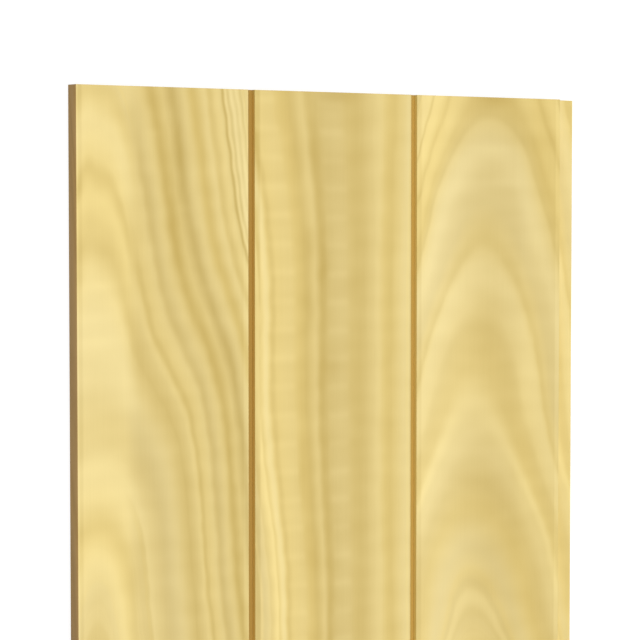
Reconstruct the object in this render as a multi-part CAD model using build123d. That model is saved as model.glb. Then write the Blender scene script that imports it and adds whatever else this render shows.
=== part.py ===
from build123d import *

import os

# A wooden wall cladding board: one length of stock, milled with narrow grooves so that it shows
# as a row of planks, and half-lapped along both long edges so that it overlaps its neighbours.
# It lies on its back: +Z is the normal of the face, +Y runs along the length, and the lip that
# laps over the next board is on the -X edge. The origin is the middle of the back's plane.

# Plank faces
PLANK_COUNT = 3
PLANK_PITCH = 100.0
BOARD_LENGTH = 2400.0
BOARD_THICKNESS = 16.0

# Groove between two plank faces
GROOVE_WIDTH = 3.75
GROOVE_DEPTH = 2.5

# Half laps of the long edges
LIP_THICKNESS = 7.75
LAP_OVERLAP = 12.0
LAP_FACE_CLEARANCE = 0.5
LAP_END_CLEARANCE = 1.0

# Eased corners of the face and of the long edges
ARRIS_RADIUS = 0.3

# The lap joint repeats the groove: the face stops one groove short of the neighbour's face,
# and the tongue goes on below the joint and under the neighbour's lip.
FACE_WIDTH = PLANK_COUNT * PLANK_PITCH - GROOVE_WIDTH
TONGUE_REACH = GROOVE_WIDTH + LAP_OVERLAP
TONGUE_THICKNESS = BOARD_THICKNESS - LIP_THICKNESS - LAP_FACE_CLEARANCE
LIP_REACH = LAP_OVERLAP + LAP_END_CLEARANCE
BOARD_WIDTH = FACE_WIDTH + TONGUE_REACH

LEFT_EDGE = -BOARD_WIDTH / 2
RIGHT_EDGE = BOARD_WIDTH / 2
FACE_RIGHT_EDGE = LEFT_EDGE + FACE_WIDTH

SAME_PLACE = 1e-6


def cut_below_lip():
    """Rebate in the back of the left edge, which leaves the lip."""
    with Locations((LEFT_EDGE, 0)):
        Rectangle(
            LIP_REACH,
            BOARD_THICKNESS - LIP_THICKNESS,
            align=(Align.MIN, Align.MIN),
            mode=Mode.SUBTRACT,
        )


def cut_above_tongue():
    """Rebate in the face of the right edge, which leaves the tongue."""
    with Locations((FACE_RIGHT_EDGE, TONGUE_THICKNESS)):
        Rectangle(
            TONGUE_REACH,
            BOARD_THICKNESS - TONGUE_THICKNESS,
            align=(Align.MIN, Align.MIN),
            mode=Mode.SUBTRACT,
        )


def cut_grooves():
    """Grooves that end each plank face where the next one begins."""
    for plank in range(1, PLANK_COUNT):
        next_plank = LEFT_EDGE + plank * PLANK_PITCH
        with Locations((next_plank, BOARD_THICKNESS)):
            Rectangle(
                GROOVE_WIDTH,
                GROOVE_DEPTH,
                align=(Align.MAX, Align.MAX),
                mode=Mode.SUBTRACT,
            )


def handled_corners(section):
    """Corners of the section that are eased: those on the face and those of the outer edges."""
    corners = []
    for corner in section.vertices():
        on_face = abs(corner.Y - BOARD_THICKNESS) < SAME_PLACE
        on_edge = abs(abs(corner.X) - RIGHT_EDGE) < SAME_PLACE
        if on_face or on_edge:
            corners.append(corner)
    return corners


def make_board():
    """The milled section, run out to the board's length."""
    with BuildPart() as board:
        with BuildSketch(Plane.XZ) as section:
            Rectangle(BOARD_WIDTH, BOARD_THICKNESS, align=(Align.CENTER, Align.MIN))
            cut_below_lip()
            cut_above_tongue()
            cut_grooves()
            fillet(handled_corners(section), ARRIS_RADIUS)
        extrude(amount=BOARD_LENGTH / 2, both=True)
    return board.part


os.makedirs("parts", exist_ok=True)
export_step(make_board(), "parts/cladding_board.step")
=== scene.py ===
import math

import bmesh
import bpy
from mathutils import Matrix, Vector


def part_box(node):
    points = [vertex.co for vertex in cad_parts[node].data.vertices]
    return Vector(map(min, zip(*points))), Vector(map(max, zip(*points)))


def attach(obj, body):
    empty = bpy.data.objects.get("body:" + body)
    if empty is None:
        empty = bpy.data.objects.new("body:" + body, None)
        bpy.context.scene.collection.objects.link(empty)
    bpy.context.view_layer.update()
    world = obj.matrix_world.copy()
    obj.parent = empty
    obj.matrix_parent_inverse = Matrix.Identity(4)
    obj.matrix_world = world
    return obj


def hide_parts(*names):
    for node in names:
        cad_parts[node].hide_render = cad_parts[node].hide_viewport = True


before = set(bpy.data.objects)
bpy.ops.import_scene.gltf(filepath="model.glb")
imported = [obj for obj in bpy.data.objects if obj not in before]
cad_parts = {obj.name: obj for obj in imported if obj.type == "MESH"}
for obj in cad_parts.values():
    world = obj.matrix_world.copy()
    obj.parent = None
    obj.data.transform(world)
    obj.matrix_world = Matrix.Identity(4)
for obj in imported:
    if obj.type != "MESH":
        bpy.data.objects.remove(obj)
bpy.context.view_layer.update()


# Camera. The board lies face up, and the camera looks down on its top end from the side of the
# lip, at the angle at which the upright board was seen, so that the lip's edge shows.
CAMERA_PLACE = Vector((-0.7071, 1.1445, 1.0120))
CAMERA_AIM = Vector((-0.0170, 1.0856, 0.0160))
LENS = 135.65
SENSOR = 36.0
ALONG_BOARD = Vector((0, 1, 0))
NEAREST, FURTHEST = 0.05, 50

camera = bpy.data.objects.new("camera", bpy.data.cameras.new("camera"))
bpy.context.scene.collection.objects.link(camera)
camera.data.lens = LENS
camera.data.sensor_width = SENSOR
camera.data.clip_start = NEAREST
camera.data.clip_end = FURTHEST
backward = (CAMERA_PLACE - CAMERA_AIM).normalized()
rightward = ALONG_BOARD.cross(backward).normalized()
upward = backward.cross(rightward)
turn = Matrix((rightward, upward, backward)).transposed().to_4x4()
camera.matrix_world = Matrix.Translation(CAMERA_PLACE) @ turn
bpy.context.scene.camera = camera


# The board. It is one length of pine, glued up from three staves, and a four-sided planer mills a
# narrow groove over each glue joint and a half lap along each long edge. The long corners are
# broken with a small round, and the ends are sawn square.
LOW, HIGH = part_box("cladding_board")
LENGTH = HIGH.y - LOW.y
THICKNESS = HIGH.z - LOW.z
STAVE_PITCH = 0.100
STAVE_COUNT = 3
GROOVE_WIDTH = 0.00375
GROOVE_DEPTH = 0.0025
LIP_THICKNESS = 0.00775
LIP_REACH = 0.013
TONGUE_THICKNESS = 0.00775
TONGUE_REACH = 0.01575
CORNER_ROUND = 0.0003
ROUND_STEPS = 3

FACE_LEFT = LOW.x
FACE_RIGHT = HIGH.x - TONGUE_REACH
GROOVE_FLOOR = HIGH.z - GROOVE_DEPTH
LIP_UNDERSIDE = HIGH.z - LIP_THICKNESS
TONGUE_TOP = LOW.z + TONGUE_THICKNESS
LIP_ROOT = LOW.x + LIP_REACH
SAME_PLACE = 1e-6
HALF_TURN = math.pi
SMOOTH_UNDER = math.radians(40)

groove_sides = []
for stave in range(1, STAVE_COUNT):
    next_stave = FACE_LEFT + stave * STAVE_PITCH
    groove_sides.append((next_stave - GROOVE_WIDTH, next_stave))


def cut_section(place, normal):
    """Cuts the flat section along one plane."""
    bpy.ops.mesh.select_all(action="SELECT")
    bpy.ops.mesh.bisect(plane_co=place, plane_no=normal)


def milled_away(x, z):
    """Says whether a spot of the section lies in a groove or in one of the two rebates."""
    in_groove = any(left < x < right for left, right in groove_sides) and z > GROOVE_FLOOR
    below_lip = x < LIP_ROOT and z < LIP_UNDERSIDE
    above_tongue = x > FACE_RIGHT and z > TONGUE_TOP
    return in_groove or below_lip or above_tongue


def runs_along(edge):
    """Says whether an edge runs along the board."""
    way = edge.verts[1].co - edge.verts[0].co
    return abs(way.y) > LENGTH / 2


def broken_corner(edge):
    """Says whether a long edge is a corner of the face or of one of the two outer edges."""
    spot = edge.verts[0].co
    on_face = abs(spot.z - HIGH.z) < SAME_PLACE
    on_outside = min(abs(spot.x - LOW.x), abs(spot.x - HIGH.x)) < SAME_PLACE
    sharp = len(edge.link_faces) == 2 and edge.calc_face_angle(0) > HALF_TURN / 4
    return runs_along(edge) and sharp and (on_face or on_outside)


bpy.ops.object.select_all(action="DESELECT")
middle = (LOW + HIGH) / 2
bpy.ops.mesh.primitive_plane_add(
    size=1, location=(middle.x, LOW.y, middle.z), rotation=(HALF_TURN / 2, 0, 0)
)
board = bpy.context.object
board.name = "milled_board"
board.data.name = "milled_board"
board.scale = (HIGH.x - LOW.x, THICKNESS, 1)
bpy.ops.object.transform_apply(location=True, rotation=True, scale=True)

bpy.ops.object.mode_set(mode="EDIT")
for x in [LIP_ROOT, FACE_RIGHT] + [side for sides in groove_sides for side in sides]:
    cut_section((x, 0, 0), (1, 0, 0))
for z in (GROOVE_FLOOR, LIP_UNDERSIDE, TONGUE_TOP):
    cut_section((0, 0, z), (0, 0, 1))
bpy.ops.mesh.select_all(action="DESELECT")
section = bmesh.from_edit_mesh(board.data)
for face in section.faces:
    spot = face.calc_center_median()
    face.select_set(milled_away(spot.x, spot.z))
bmesh.update_edit_mesh(board.data)
bpy.ops.mesh.delete(type="FACE")
bpy.ops.mesh.select_all(action="SELECT")
bpy.ops.mesh.extrude_region_move(TRANSFORM_OT_translate={"value": (0, LENGTH, 0)})
bpy.ops.mesh.select_all(action="SELECT")
bpy.ops.mesh.normals_make_consistent(inside=False)
bpy.ops.mesh.select_all(action="DESELECT")
bpy.ops.mesh.select_mode(type="EDGE")
blank = bmesh.from_edit_mesh(board.data)
for edge in blank.edges:
    edge.select_set(broken_corner(edge))
bmesh.update_edit_mesh(board.data)
bpy.ops.mesh.bevel(offset=CORNER_ROUND, segments=ROUND_STEPS, affect="EDGES")
bpy.ops.mesh.select_all(action="SELECT")
bpy.ops.mesh.normals_make_consistent(inside=False)
bpy.ops.object.mode_set(mode="OBJECT")
bpy.ops.object.shade_smooth_by_angle(angle=SMOOTH_UNDER)


# The board's own map, for patterns that are drawn on it: round the section one way and along the
# board the other way, with the two sawn ends in a strip of their own above. The plain back has
# half the room that its width would ask.
SIDES_FROM, SIDES_HEIGHT = 0.003, 0.935
ENDS_FROM, ENDS_TO = 0.945, 0.995
END_WIDTH = 0.48
FAR_END_AT, NEAR_END_AT = 0.01, 0.51
BACK_SHARE = 0.5
KEYS_PER_METRE = 1e7


def section_key(spot):
    """A corner of the section, whichever end of the board it is at."""
    return round(spot.x * KEYS_PER_METRE), round(spot.z * KEYS_PER_METRE)


def lies_on_end(face):
    """Says whether a face is part of a sawn end."""
    return abs(face.normal.y) > 0.5


def lay_out(board):
    """Gives the board its map."""
    mesh = bmesh.new()
    mesh.from_mesh(board.data)
    layer = mesh.loops.layers.uv.new("OFBake")
    around = {}
    for edge in mesh.edges:
        one, other = edge.verts
        at_low_end = max(one.co.y, other.co.y) < LOW.y + SAME_PLACE
        rim = at_low_end and any(not lies_on_end(face) for face in edge.link_faces)
        if rim:
            around.setdefault(section_key(one.co), []).append(section_key(other.co))
            around.setdefault(section_key(other.co), []).append(section_key(one.co))
    start = min(around, key=lambda key: (key[1], key[0]))
    walk = [start, max(around[start])]
    while walk[-1] != start:
        walk.append(next(key for key in around[walk[-1]] if key != walk[-2]))
    spans = []
    for here, there in zip(walk, walk[1:]):
        on_back = here[1] == there[1] == round(LOW.z * KEYS_PER_METRE)
        spans.append(math.dist(here, there) * (BACK_SHARE if on_back else 1))
    whole = sum(spans)
    starts = {}
    for number, (here, there) in enumerate(zip(walk, walk[1:])):
        starts[frozenset((here, there))] = (here, sum(spans[:number]) / whole, spans[number] / whole)
    for face in mesh.faces:
        if lies_on_end(face):
            end_at = FAR_END_AT if face.normal.y > 0 else NEAR_END_AT
            for loop in face.loops:
                u = (loop.vert.co.x - LOW.x) / (HIGH.x - LOW.x) * END_WIDTH + end_at
                v = (loop.vert.co.z - LOW.z) / THICKNESS * (ENDS_TO - ENDS_FROM) + ENDS_FROM
                loop[layer].uv = (u, v)
            continue
        keys = frozenset(section_key(vert.co) for vert in face.verts)
        first, begin, span = starts[keys]
        for loop in face.loops:
            u = begin if section_key(loop.vert.co) == first else begin + span
            v = (loop.vert.co.y - LOW.y) / LENGTH * SIDES_HEIGHT + SIDES_FROM
            loop[layer].uv = (u, v)
    mesh.to_mesh(board.data)
    mesh.free()


lay_out(board)


# The wood. Pine has wide pale rings with thin darker latewood lines. Each stave was sawn from
# another place in the log, so each shows a figure of its own, and the grooves have a brown stain,
# darkened further as painted shade.
# Places on the board are in millimetres, across from its left edge and down from its far end.
class Reading:
    """A number that varies over the board, built up from the shader's own sums."""

    def __init__(self, tree, socket):
        self.tree = tree
        self.socket = socket

    def sum_of(self, operation, *others):
        node = self.tree.nodes.new("ShaderNodeMath")
        node.operation = operation
        for place, value in enumerate((self,) + others):
            if isinstance(value, Reading):
                self.tree.links.new(value.socket, node.inputs[place])
            else:
                node.inputs[place].default_value = value
        return Reading(self.tree, node.outputs[0])

    def __add__(self, other):
        return self.sum_of("ADD", other)

    def __sub__(self, other):
        return self.sum_of("SUBTRACT", other)

    def __mul__(self, other):
        return self.sum_of("MULTIPLY", other)

    def __rsub__(self, other):
        return self * -1 + other

    def __truediv__(self, other):
        return self.sum_of("DIVIDE", other)

    def squared(self):
        return self * self

    def between(self, start, end, low=0.0, high=1.0):
        """Goes softly from low to high as the reading goes from start to end."""
        node = self.tree.nodes.new("ShaderNodeMapRange")
        node.interpolation_type = "SMOOTHSTEP"
        self.tree.links.new(self.socket, node.inputs["Value"])
        node.inputs["From Min"].default_value = start
        node.inputs["From Max"].default_value = end
        node.inputs["To Min"].default_value = low
        node.inputs["To Max"].default_value = high
        return Reading(self.tree, node.outputs["Result"])

    def wave(self, length, start):
        """A sine that is nought at start."""
        return ((self - start) * (2 * math.pi / length)).sum_of("SINE")

    def rounded(self, flat):
        """A distance from a line, with a flat stretch of about this size at the line."""
        return (self.squared() + flat * flat).sum_of("SQRT") - flat


def blended(first, second, share):
    """The first reading, which gives way to the second as share goes from 0 to 1."""
    return first + (second - first) * share


NOISE_MIDDLE = 0.5
NOISE_REACH = 2.6


def noise(tree, places, detail=2.0, roughness=0.5):
    """Noise about nought, between about -1 and 1, at up to three readings as its place."""
    node = tree.nodes.new("ShaderNodeTexNoise")
    node.noise_dimensions = "1D" if len(places) == 1 else "3D"
    node.inputs["Scale"].default_value = 1.0
    node.inputs["Detail"].default_value = detail
    node.inputs["Roughness"].default_value = roughness
    if len(places) == 1:
        tree.links.new(places[0].socket, node.inputs["W"])
    else:
        join = tree.nodes.new("ShaderNodeCombineXYZ")
        for place, value in enumerate(places):
            tree.links.new(value.socket, join.inputs[place])
        tree.links.new(join.outputs[0], node.inputs["Vector"])
    return (Reading(tree, node.outputs[0]) - NOISE_MIDDLE) * NOISE_REACH


# Lightness is counted from 0, as in the darkest latewood, to 100, as in the palest early wood, and
# the rings are given in eight tones of it. Warmth goes from grey wood below 0 to ochre above it.
LATEWOOD, BROWN, DUSKY, MIDDLING = 15, 29, 40, 49
STRAW, LIGHT, PALE, PALEST = 57, 66, 77, 89
GREY, COOL, PLAIN, WARM, OCHRE = -6, -2.5, 0, 2.5, 5
DARKEST_WOOD = (204, 176, 97)
PALEST_WOOD = (254, 232, 160)
COOL_TINT = (0.968, 0.986, 1.077)
WARM_TINT = (1.032, 1.014, 0.923)
MOST_WARMTH = 6


def paint(red, green, blue):
    """A colour as it is mixed on a screen, from 0 to 255, for a shader."""
    channels = []
    for level in (red, green, blue):
        part = level / 255
        channels.append(part / 12.92 if part <= 0.04045 else ((part + 0.055) / 1.055) ** 2.4)
    return (*channels, 1)


UNSEEN_RINGS = 18
LAST_SEEN = 0.03


def rings(tree, ring, marks, typical, spread):
    """A reading that goes from ring to ring through marks, each a place and a value.

    Past the first and the last mark it varies about a typical value.
    """
    first, last = marks[0][0], marks[-1][0]
    lowest = min(value for place, value in marks)
    reach = max(value for place, value in marks) - lowest
    place = (ring - first) / (last - first)
    node = tree.nodes.new("ShaderNodeValToRGB")
    node.color_ramp.interpolation = "CARDINAL"
    tree.links.new(place.socket, node.inputs[0])
    stops = node.color_ramp.elements
    while len(stops) < len(marks):
        stops.new(0.5)
    for stop, (where, value) in zip(stops, marks):
        level = (value - lowest) / reach
        stop.position = (where - first) / (last - first)
        stop.color = (level, level, level, 1)
    seen = Reading(tree, node.outputs[0]) * reach + lowest
    unseen = noise(tree, (place * UNSEEN_RINGS,), detail=3, roughness=0.6) * spread + typical
    inside = place.between(0.0, LAST_SEEN) * place.between(1.0 - LAST_SEEN, 1.0, 1.0, 0.0)
    return blended(unseen, seen, inside)


def lightness_of(tree, ring, marks):
    """The wood's lightness by its rings."""
    return rings(tree, ring, marks, typical=57, spread=26)


def warmth_of(tree, ring, marks):
    """The wood's warmth by its rings."""
    return rings(tree, ring, marks, typical=0, spread=4)


PATCH_FALL = -0.7


def patches(across, down, places):
    """Soft patches, each with its place, its half sizes and how much it adds in the middle."""
    total = None
    for x, y, half_width, half_height, amount in places:
        far = ((across - x) / half_width).squared() + ((down - y) / half_height).squared()
        patch = (far * PATCH_FALL).sum_of("EXPONENT") * amount
        total = patch if total is None else total + patch
    return total


# The left stave is sawn beside the heart: arches stand along its left edge, and their right legs
# sweep down to the right in close dark lines, with a bend a hand's width from the end.
LEFT_HEART = 10.5
LEFT_FLAT = 21.0
PINCH_AT, PINCH_WIDTH, PINCH = 9.4, 6, 2.8
PINCH_TURNS_AT, PINCH_TURN = 98, 55
LEG_DROP, LEG_CURVE, LEG_LEAN = 2, 0.0123, 0.246
BEND_AT, BEND_LENGTH, BEND = 185, 55, 19.3
SWEEP_AT, SWEEP_LENGTH, SWEEP = 202, 137, 41.2
LEG_FROM, LEG_TO = 24, 36
LEFT_DIP = 1.1
ARCH_RINGS = (
    (-64, LIGHT), (-62, PALE), (-60.5, PALEST), (-59.3, PALE), (-57, STRAW), (-54.5, PALE),
    (-52.5, PALEST), (-49.3, PALEST), (-47.3, PALE), (-45.5, LIGHT), (-42, LIGHT), (-39, PALE),
    (-35.5, PALEST), (-32, PALEST), (-30, STRAW), (-28.7, STRAW), (-26.5, PALE), (-24.8, MIDDLING),
    (-23.5, PALE), (-20.5, PALEST), (-18, STRAW), (-16, LIGHT), (-13.5, PALE), (-11, LIGHT),
    (-8, BROWN), (-4, MIDDLING),
)
LEG_RINGS = (
    (-50.5, LIGHT), (-43.5, DUSKY), (-37, STRAW), (-31.5, BROWN), (-30, BROWN),
    (-27, MIDDLING), (-25.2, STRAW), (-23.7, BROWN), (-21.8, MIDDLING), (-18.5, STRAW),
    (-16.2, BROWN), (-13, MIDDLING), (-10.5, MIDDLING), (-7.7, LATEWOOD), (-4.5, DUSKY),
    (-3, DUSKY), (0, LATEWOOD), (2.5, DUSKY), (5.3, STRAW), (9.2, BROWN), (14, LIGHT),
    (16.6, DUSKY), (19.8, LIGHT), (21.9, STRAW), (23.1, LATEWOOD), (24.4, PALE),
    (25.8, MIDDLING), (27.3, PALEST), (28.9, LIGHT), (30.4, PALEST), (32.5, PALE),
)
ARCH_WARMTH = (
    (-62, PLAIN), (-58.5, OCHRE), (-55, WARM), (-51, PLAIN), (-43, PLAIN), (-38, COOL),
    (-34, COOL), (-30.5, WARM), (-25, OCHRE), (-21, PLAIN), (-18.5, WARM), (-16, PLAIN),
)
LEG_WARMTH = (
    (-52, COOL), (-47, COOL), (-41, GREY), (-36, COOL), (-33, PLAIN), (-26.5, PLAIN),
    (-23.5, WARM), (-18.5, PLAIN), (-14, COOL), (-8.5, WARM), (-2.5, PLAIN), (0.8, COOL),
    (5.5, PLAIN), (8.7, OCHRE), (13.5, PLAIN), (16.5, WARM), (24.5, PLAIN), (28, COOL), (33, PLAIN),
)
LEFT_BEND = ((54, 62, 14, 38, 1.0),)
LEFT_CLOUDS = (
    (13, 95, 8, 2, 8), (10, 110, 11, 2.4, 10), (10, 121, 11, 2.4, 9), (16, 77, 9, 5, -9),
    (43, 22, 5, 2, 7), (58, 58, 5, 2, 6), (72, 97, 5, 2, 8), (34, 144, 8, 10, 14),
    (31, 205, 5, 9, 9), (31, 238, 3, 14, -12), (55, 52, 4, 30, -15),
)


def left_stave(tree, across, down, depth):
    pinch = (((across - PINCH_AT) / PINCH_WIDTH).squared() * -1).sum_of("EXPONENT") * PINCH
    turn = ((PINCH_TURNS_AT - down) / PINCH_TURN).sum_of("TANH")
    side = (across + turn * pinch + pinch - LEFT_HEART).rounded(LEFT_FLAT)
    run = down + side * LEG_DROP - side.squared() * LEG_CURVE
    bend = ((run - BEND_AT) / BEND_LENGTH).sum_of("TANH") * BEND
    sweep = ((run - SWEEP_AT) / SWEEP_LENGTH).sum_of("TANH") * SWEEP
    ring = side - run * LEG_LEAN - bend + sweep - depth * LEFT_DIP
    ring = ring + patches(across, down, LEFT_BEND)
    in_leg = across.between(LEG_FROM, LEG_TO)
    in_arch = lightness_of(tree, ring, ARCH_RINGS)
    lightness = blended(in_arch, lightness_of(tree, ring, LEG_RINGS), in_leg)
    warmth = warmth_of(tree, ring, ARCH_WARMTH)
    warmth = blended(warmth, warmth_of(tree, ring, LEG_WARMTH), in_leg)
    return lightness + patches(across, down, LEFT_CLOUDS), warmth


# The middle stave is sawn through the side of the log: nearly upright bands, which drift to the
# right going down, and pale stripes with thin dark lines that come in at its left edge.
DRIFT, DRIFT_LENGTH, DRIFT_START = 20, 1000, 75
SWAY, SWAY_LENGTH, SWAY_START = 3.6, 183, 30
DRIFT_ENDS, DRIFT_FADE, BACKWARD = 138, 20, 0.15
EDGE_SWAY, EDGE_SWAY_LENGTH = 1.7, 520
MIDDLE_DIP = 0.25
MIDDLE_DARKER = 2
MIDDLE_RINGS = (
    (85, DUSKY), (91, LIGHT), (92.3, STRAW), (95, PALE), (97, PALEST), (98.3, LIGHT),
    (100.7, PALEST), (103, PALE), (105.6, DUSKY), (109, STRAW), (117, STRAW), (120, MIDDLING),
    (126, BROWN), (129, BROWN), (133.5, MIDDLING), (136, BROWN), (138.2, LATEWOOD), (142, BROWN),
    (148, DUSKY), (154, DUSKY), (160, BROWN), (164, BROWN), (168, DUSKY), (173, STRAW),
    (176.5, LIGHT), (179, STRAW), (183.5, DUSKY), (187, MIDDLING), (194, PALE), (200, PALE),
)
MIDDLE_WARMTH = (
    (85, GREY), (90, COOL), (93, WARM), (98.5, OCHRE), (101.5, PLAIN), (105, OCHRE), (117, WARM),
    (123, OCHRE), (128, WARM), (133, PLAIN), (138, PLAIN), (144, COOL), (153.5, COOL),
    (158.5, PLAIN), (176, PLAIN), (182, OCHRE), (189, WARM), (195, COOL),
)
MIDDLE_CLOUDS = (
    (148, 1, 8, 5, -22), (146, 38, 7, 6, -10), (147, 138, 6, 6, -13), (133, 78, 3, 7, -12),
    (133, 105, 3, 7, -12), (133, 5, 3, 9, 12), (128, 190, 3, 13, -10), (133, 232, 5, 12, -9),
    (191, 90, 4, 25, 5), (142, 88, 3, 9, -13), (129, 45, 3, 12, 7), (183, 15, 6, 12, 7),
)

# Across the curly grain lie soft pale bars, at an even pitch, in the two widest pale bands.
BAR_PITCH = 14.28
FIRST_BAR = 18.67
BAR_POWER = 4
LEFT_BARS, RIGHT_BARS = 8, 7
RIGHT_BARS_LOWER = 1.4


def middle_stave(tree, across, down, depth):
    drift = down.wave(DRIFT_LENGTH, DRIFT_START) * DRIFT
    drift = drift + down.wave(SWAY_LENGTH, SWAY_START) * SWAY
    fade = ((across - DRIFT_ENDS) / -DRIFT_FADE).sum_of("EXPONENT") + 1
    share = 1 - fade.sum_of("POWER", -1.0)
    ring = across - drift * (share * (1 + BACKWARD) - BACKWARD) - depth * MIDDLE_DIP
    ring = ring + down.wave(EDGE_SWAY_LENGTH, 0) * across.between(170, 181) * EDGE_SWAY
    lower = across.between(126, 140, 0.0, RIGHT_BARS_LOWER)
    beat = (down - lower).wave(BAR_PITCH, FIRST_BAR - BAR_PITCH / 4) * 0.5 + 0.5
    left_band = ring.between(99, 107) * ring.between(118, 123, 1.0, 0.0)
    right_band = ring.between(140, 144) * ring.between(153, 158, 1.0, 0.0)
    bars = beat.sum_of("POWER", BAR_POWER) * (left_band * LEFT_BARS + right_band * RIGHT_BARS)
    lightness = lightness_of(tree, ring, MIDDLE_RINGS) + bars
    lightness = lightness + patches(across, down, MIDDLE_CLOUDS) - MIDDLE_DARKER
    return lightness, warmth_of(tree, ring, MIDDLE_WARMTH)


# The right stave is sawn flat, far from the heart: wide arches, one under the other.
RIGHT_HEART = 240.5
RIGHT_FLAT = 47.4
HEART_SWAY, HEART_SWAY_LENGTH, HEART_SWAY_START = 6.6, 460, -128
ARCH_POWER = 0.805
ARCH_SLOPE, LEFT_STEEPER = 0.193, 0.134
UNEVEN_SPACING = ((150, 55, 5.4), (99.5, 14, 3.7))
RIGHT_DIP = 14
RIGHT_RINGS = (
    (-111, STRAW), (-98, LIGHT), (-86, LIGHT), (-81, DUSKY), (-76, LIGHT), (-60, LIGHT),
    (-51, MIDDLING), (-46, DUSKY), (-40, STRAW), (-26, STRAW), (-15, DUSKY), (-2, DUSKY),
    (3, STRAW), (7, LIGHT), (25, PALE), (40, LIGHT), (55, STRAW), (68, STRAW),
    (78, MIDDLING), (83, LIGHT), (90, PALE), (112, LIGHT), (122, MIDDLING), (142, MIDDLING),
    (150, LIGHT), (156, PALE), (165, LIGHT), (180, STRAW), (198, DUSKY), (215, DUSKY),
    (238, STRAW), (264, STRAW),
)
RIGHT_WARMTH = (
    (-111, PLAIN), (-97, PLAIN), (-79, WARM), (-43, OCHRE), (-10, WARM), (8, COOL), (23, GREY),
    (54, GREY), (75, PLAIN), (92, COOL), (119, PLAIN), (143, WARM), (155, PLAIN), (175, COOL),
    (203, PLAIN), (222, WARM), (239, COOL), (255, GREY),
)
RIGHT_BEND = ((247, 9, 24, 13, -4.5), (283, 48, 11, 24, -7), (213, 50, 8, 18, 5))
RIGHT_CLOUDS = (
    (250, 0, 12, 4, -15), (229, 72, 8, 18, -7), (253, 108, 9, 5, -11), (208, 94, 5, 9, 9),
    (277, 73, 6, 8, 8), (217, 132, 8, 7, -9), (208, 210, 7, 14, 9), (272, 155, 6, 16, 7),
    (250, 27, 15, 1.8, 6), (254, 45, 17, 2.2, 8), (285, 28, 7, 14, -9),
)


def right_stave(tree, across, down, depth):
    sway = down.wave(HEART_SWAY_LENGTH, HEART_SWAY_START) * HEART_SWAY
    side = across - sway - RIGHT_HEART
    curve = (side.squared() + RIGHT_FLAT ** 2).sum_of("POWER", ARCH_POWER)
    curve = curve - RIGHT_FLAT ** (2 * ARCH_POWER)
    slope = side.sum_of("LESS_THAN", 0.0) * LEFT_STEEPER + ARCH_SLOPE
    ring = down - curve * slope + depth * RIGHT_DIP + patches(across, down, RIGHT_BEND)
    for length, start, height in UNEVEN_SPACING:
        ring = ring + down.wave(length, start) * height
    paler_left = across.between(212, 250, 17, -14)
    paler_right = across.between(262, 275, 0, 7)
    lightness = lightness_of(tree, ring, RIGHT_RINGS) + paler_left + paler_right
    warmth = warmth_of(tree, ring, RIGHT_WARMTH) + side.squared().between(300, 1600, -0.8, 2.2)
    return lightness + patches(across, down, RIGHT_CLOUDS), warmth


# The floor of each groove is stained brown and painted darker still, as painted shade in the groove,
# and its walls less so. The lip's planed edge is painted darker and browner, as painted shade on
# that side, and the end grain is darker and greyer than the face.
GROOVE_STAINS_AND_SHADE = ((176, 139, 62), (191, 154, 73))
GROOVE_WALLS = ((226, 190, 99), (239, 213, 124))
SIDE_PAINTED_SHADE = (0.68, 0.515, 0.42)
END_TONE = (0.80, 0.70, 0.62)
WANDER, CURL = 0.7, 0.5
FIBRES, RIPPLES = 3.5, 6.5
FIBRE_DEPTH = 0.35
RELIEF = 0.25
RELIEF_SIZE = 0.0002
LATEWOOD_ROUGHNESS, PALE_ROUGHER = 0.50, 0.10
GLOSS = 0.3
MM = 1000

pine = bpy.data.materials.new("pine")
pine.use_nodes = True
tree = pine.node_tree
shader = tree.nodes["Principled BSDF"]
where = tree.nodes.new("ShaderNodeTexCoord")
parts = tree.nodes.new("ShaderNodeSeparateXYZ")
tree.links.new(where.outputs["Object"], parts.inputs[0])
across = (Reading(tree, parts.outputs["X"]) - FACE_LEFT) * MM
down = (Reading(tree, parts.outputs["Y"]) - HIGH.y) * -MM
depth = (Reading(tree, parts.outputs["Z"]) - HIGH.z) * -MM
stave_mm = STAVE_PITCH * MM
groove_mm = GROOVE_WIDTH * MM
face_mm = (FACE_RIGHT - FACE_LEFT) * MM
board_mm = (HIGH.x - LOW.x) * MM

wander = noise(tree, (across / 9, down / 45, depth / 9), detail=1) * WANDER
curl = noise(tree, (across / 12, down / 9, depth / 12), detail=0) * CURL
bent = across + wander + curl
lightness, warmth = left_stave(tree, bent, down, depth)
for number, stave in ((1, middle_stave), (2, right_stave)):
    joint = number * stave_mm - groove_mm / 2
    beyond_joint = across.sum_of("GREATER_THAN", joint)
    stave_lightness, stave_warmth = stave(tree, bent, down, depth)
    lightness = blended(lightness, stave_lightness, beyond_joint)
    warmth = blended(warmth, stave_warmth, beyond_joint)

# Fine fibres run along the board, and soft ripples of the curly grain lie across it.
fibres = noise(tree, (across / 0.9, down / 60, depth / 0.9), detail=3, roughness=0.6)
ripples = noise(tree, (across / 24, down / 9, depth / 24), detail=0)
lightness = lightness + fibres * FIBRES + ripples * RIPPLES
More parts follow.
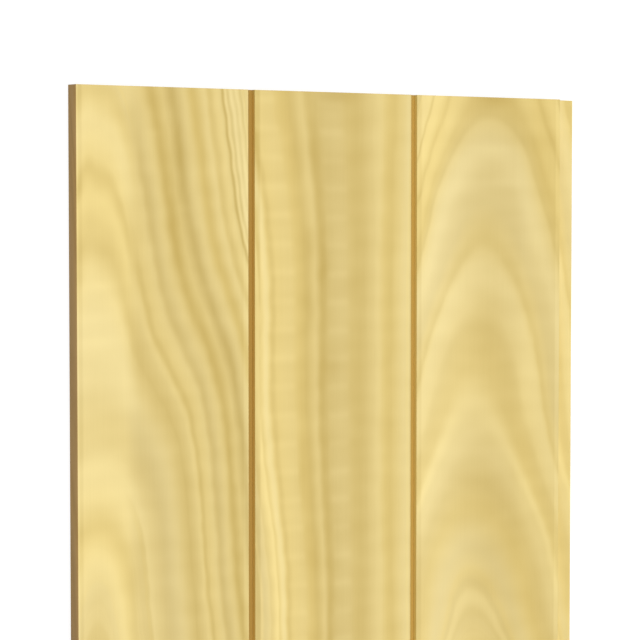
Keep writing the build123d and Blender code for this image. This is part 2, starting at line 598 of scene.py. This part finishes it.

# Beside the broken corners each stave is painted a little darker on its left and paler on its right:
# painted shade and painted light of shallow bevels that the shape leaves out. A thin rim by each
# right corner is painted paler on the left stave and darker on the middle one, as painted highlight
# and painted shade at the round. The lip's corner and the tongue's outer corner get a painted
# highlight, and the tongue, which the next board's lip covers, is painted paler, as painted light
# over the shade that the face's step lays on it, and a little warmer.
LEFT_BEVEL_PAINTED_SHADE = (-16, -24, -17)
RIGHT_BEVEL_PAINTED_LIGHT = (14, 3, 14)
RIGHT_RIM_PAINTED_LIGHT_AND_SHADE = (8, -20, 0)
LIP_CORNER_PAINTED_HIGHLIGHT, TONGUE_CORNER_PAINTED_HIGHLIGHT = 21, 11
TONGUE_PAINTED_LIGHT, TONGUE_WARMER = 17, 3
# Painted shade and painted light: each stave's left bevel strip is darkened, its right bevel strip
# lightened, and a thin rim by its right corner gets the listed painted highlight and painted shade.
for number, painted_edge_light in enumerate(zip(LEFT_BEVEL_PAINTED_SHADE, RIGHT_BEVEL_PAINTED_LIGHT, RIGHT_RIM_PAINTED_LIGHT_AND_SHADE)):
    from_left = across - number * stave_mm
    left_bevel_shade = from_left.between(-0.1, 0.1) * from_left.between(2.3, 3.7, 1.0, 0.0)
    from_right = from_left - (stave_mm - groove_mm)
    on_face = from_right.between(0.0, 0.1, 1.0, 0.0)
    right_bevel_light = from_right.between(-3.6, -2.4) * on_face
    rim = from_right.between(-1.6, -0.3) * on_face
    for line, tone in zip((left_bevel_shade, right_bevel_light, rim), painted_edge_light):
        lightness = lightness + line * tone
# Painted highlight along the lip's corner and along the tongue's outer corner.
lightness = lightness + across.between(0.7, 1.1, LIP_CORNER_PAINTED_HIGHLIGHT, 0)
lightness = lightness + across.between(board_mm - 1.3, board_mm - 0.8) * TONGUE_CORNER_PAINTED_HIGHLIGHT
on_tongue = across.between(face_mm + 0.2, face_mm + 0.6)
# Painted light: the tongue is made paler to lift the shade that the face's step lays on it.
lightness = lightness + on_tongue * TONGUE_PAINTED_LIGHT
warmth = warmth + on_tongue * TONGUE_WARMER

colours = tree.nodes.new("ShaderNodeValToRGB")
colours.color_ramp.elements[0].color = paint(*DARKEST_WOOD)
colours.color_ramp.elements[1].color = paint(*PALEST_WOOD)
tree.links.new((lightness / 100).socket, colours.inputs[0])
tints = tree.nodes.new("ShaderNodeValToRGB")
tints.color_ramp.elements[0].color = (*COOL_TINT, 1)
tints.color_ramp.elements[1].color = (*WARM_TINT, 1)
tree.links.new((warmth / (2 * MOST_WARMTH) + 0.5).socket, tints.inputs[0])


def laid_over(tree, under, over, share, blend):
    """One colour laid over another, as a cover or as a tint, as far as share says."""
    node = tree.nodes.new("ShaderNodeMix")
    node.data_type = "RGBA"
    node.blend_type = blend
    node.clamp_result = False
    for place, value in ((0, share), (6, under), (7, over)):
        if isinstance(value, bpy.types.NodeSocket):
            tree.links.new(value, node.inputs[place])
        else:
            node.inputs[place].default_value = value
    return node.outputs[2]


def tinted(tree, colour, tint, share):
    """The colour multiplied by a tint, as far as share says."""
    return laid_over(tree, colour, (*tint, 1), share.socket, "MULTIPLY")


def covered(tree, colour, cover, share):
    """The colour, which gives way to a cover as share goes from 0 to 1."""
    return laid_over(tree, colour, cover, share.socket, "MIX")


colour = laid_over(tree, colours.outputs[0], tints.outputs[0], 1.0, "MULTIPLY")
# Painted shade: the lip's outer edge is tinted darker and browner, for the shade on that side.
colour = tinted(tree, colour, SIDE_PAINTED_SHADE, across.between(0.12, 0.04))
half_mm = LENGTH * MM / 2
on_end = (down - half_mm).sum_of("ABSOLUTE").sum_of("GREATER_THAN", half_mm - 0.01)
colour = tinted(tree, colour, END_TONE, on_end)
on_wall = depth.between(0.10, 0.35) * depth.between(2.30, 2.45, 1.0, 0.0)
on_floor = depth.between(2.30, 2.45) * depth.between(2.7, 3.2, 1.0, 0.0)
# Painted shade: each groove's floor colour is a brown stain darkened further for the shade in the
# groove, and its walls get a paler colour.
for (left, right), stain_and_shade, wall in zip(groove_sides, GROOVE_STAINS_AND_SHADE, GROOVE_WALLS):
    from_left = (left - FACE_LEFT) * MM
    from_right = (right - FACE_LEFT) * MM
    in_groove = across.sum_of("GREATER_THAN", from_left - 0.4)
    in_groove = in_groove * across.sum_of("LESS_THAN", from_right + 0.4)
    colour = covered(tree, colour, paint(*wall), in_groove * on_wall)
    colour = covered(tree, colour, paint(*stain_and_shade), in_groove * on_floor)
tree.links.new(colour, shader.inputs["Base Color"])

roughness = (lightness / 100) * PALE_ROUGHER + LATEWOOD_ROUGHNESS
tree.links.new(roughness.socket, shader.inputs["Roughness"])
shader.inputs["Specular IOR Level"].default_value = GLOSS
relief = tree.nodes.new("ShaderNodeBump")
relief.inputs["Strength"].default_value = RELIEF
relief.inputs["Distance"].default_value = RELIEF_SIZE
tree.links.new((fibres * FIBRE_DEPTH).socket, relief.inputs["Height"])
tree.links.new(relief.outputs[0], shader.inputs["Normal"])

board.data.materials.clear()
board.data.materials.append(pine)
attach(board, "root")
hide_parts("cladding_board")


# The floor. It is a plain white studio floor, not part of the board, and it is as bright as the
# background in the camera's view, apart from the pale shadow that the board lays on it.
FLOOR_SIZE = 12.0
FLOOR_TONE = 0.25
FLOOR_GLOW = 0.93

bpy.ops.object.select_all(action="DESELECT")
bpy.ops.mesh.primitive_plane_add(size=FLOOR_SIZE, location=(0, 0, 0))
floor = bpy.context.object
floor.name = "floor"


def seen_rays(tree):
    """Rays by which a background shows: the camera's own and those of gloss and glass."""
    path = tree.nodes.new("ShaderNodeLightPath")
    seen = Reading(tree, path.outputs["Is Camera Ray"])
    for name in ("Is Glossy Ray", "Is Transmission Ray"):
        seen = seen.sum_of("MAXIMUM", Reading(tree, path.outputs[name]))
    return seen


white_floor = bpy.data.materials.new("white_floor")
white_floor.use_nodes = True
surface = white_floor.node_tree.nodes["Principled BSDF"]
surface.inputs["Base Color"].default_value = (FLOOR_TONE, FLOOR_TONE, FLOOR_TONE, 1)
surface.inputs["Roughness"].default_value = 1.0
surface.inputs["Specular IOR Level"].default_value = 0.0
surface.inputs["Emission Color"].default_value = (1, 1, 1, 1)
glow = seen_rays(white_floor.node_tree) * FLOOR_GLOW
white_floor.node_tree.links.new(glow.socket, surface.inputs["Emission Strength"])
floor.data.materials.append(white_floor)


# The light. A wide soft lamp high over the board gives every stave the same light, and a pale
# sky fills the shadows in the grooves and along the edges.
SKY_LIGHT = 0.35
LAMP_LIGHT = 2.02
LAMP_SOFTNESS = math.radians(35)
LAMP_FROM = Vector((-0.18, -0.36, 1.0))

sky = bpy.data.worlds.new("sky")
bpy.context.scene.world = sky
sky.use_nodes = True
background = sky.node_tree.nodes["Background"]
background.inputs["Color"].default_value = (1, 1, 1, 1)
brightness = seen_rays(sky.node_tree) * (1 - SKY_LIGHT) + SKY_LIGHT
sky.node_tree.links.new(brightness.socket, background.inputs["Strength"])

bpy.ops.object.light_add(type="SUN", location=LAMP_FROM * 3)
lamp = bpy.context.object
lamp.name = "lamp"
lamp.data.energy = LAMP_LIGHT
lamp.data.angle = LAMP_SOFTNESS
lamp.rotation_euler = (-LAMP_FROM).to_track_quat("-Z", "Y").to_euler()


bpy.context.scene.view_settings.view_transform = "Standard"
